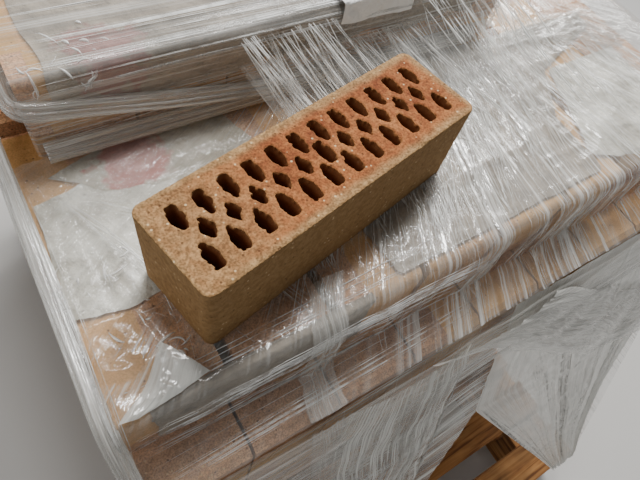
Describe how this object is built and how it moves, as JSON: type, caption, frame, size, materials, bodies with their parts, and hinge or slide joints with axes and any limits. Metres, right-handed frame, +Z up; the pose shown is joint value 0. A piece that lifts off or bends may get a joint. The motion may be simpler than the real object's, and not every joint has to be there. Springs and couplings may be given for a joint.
{
  "type": "part-used pallet of perforated facing bricks in loosened stretch wrap",
  "caption": "Wooden pallet stacked with courses of clay facing bricks under loosened stretch wrap and paper, with one perforated brick lying loose on top.",
  "frame": {"origin": "centre of the pallet's underside, on the floor", "axes": "+Z up, +X to the right along the pallet's short side as seen from the front, +Y from the front to the back along the pallet's long side"},
  "size_m": [0.8036, 1.2036, 0.9984],
  "materials": {
    "brick_clay": "matte",
    "pallet_wood": "rough sawn",
    "packing_paper": "matte",
    "stretch_film": "glossy"
  },
  "bodies": {
    "root": {"block_1_left": "pallet_wood", "block_1_middle": "pallet_wood", "block_1_right": "pallet_wood", "block_2_left": "pallet_wood", "block_2_middle": "pallet_wood", "block_2_right": "pallet_wood", "block_3_left": "pallet_wood", "block_3_middle": "pallet_wood", "block_3_right": "pallet_wood", "bottom_board_left": "pallet_wood", "bottom_board_middle": "pallet_wood", "bottom_board_right": "pallet_wood", "brick_course_01": "brick_clay", "brick_course_02": "brick_clay", "brick_course_03": "brick_clay", "brick_course_04": "brick_clay", "brick_course_05": "brick_clay", "brick_course_06": "brick_clay", "brick_course_07": "brick_clay", "brick_course_08": "brick_clay", "brick_course_09": "brick_clay", "brick_course_10": "brick_clay", "deck_board_01": "pallet_wood", "deck_board_02": "pallet_wood", "deck_board_03": "pallet_wood", "deck_board_04": "pallet_wood", "deck_board_05": "pallet_wood", "deck_board_06": "pallet_wood", "deck_board_07": "pallet_wood", "deck_board_08": "pallet_wood", "deck_board_09": "pallet_wood", "deck_board_10": "pallet_wood", "deck_board_11": "pallet_wood", "loose_brick": "brick_clay", "paper_apron": "packing_paper", "paper_cover": "packing_paper", "paper_left": "packing_paper", "paper_pink": "packing_paper", "paper_right": "packing_paper", "paper_roof": "packing_paper", "paper_slip": "packing_paper", "stringer_left": "pallet_wood", "stringer_middle": "pallet_wood", "stringer_right": "pallet_wood", "wrap_back": "stretch_film", "wrap_band": "stretch_film", "wrap_bundle": "stretch_film", "wrap_fan": "stretch_film", "wrap_front": "stretch_film", "wrap_left": "stretch_film", "wrap_right": "stretch_film", "wrap_rope": "stretch_film", "wrap_top": "stretch_film", "wrap_top_right": "stretch_film", "wrap_upper": "stretch_film"}
  },
  "joints": []
}
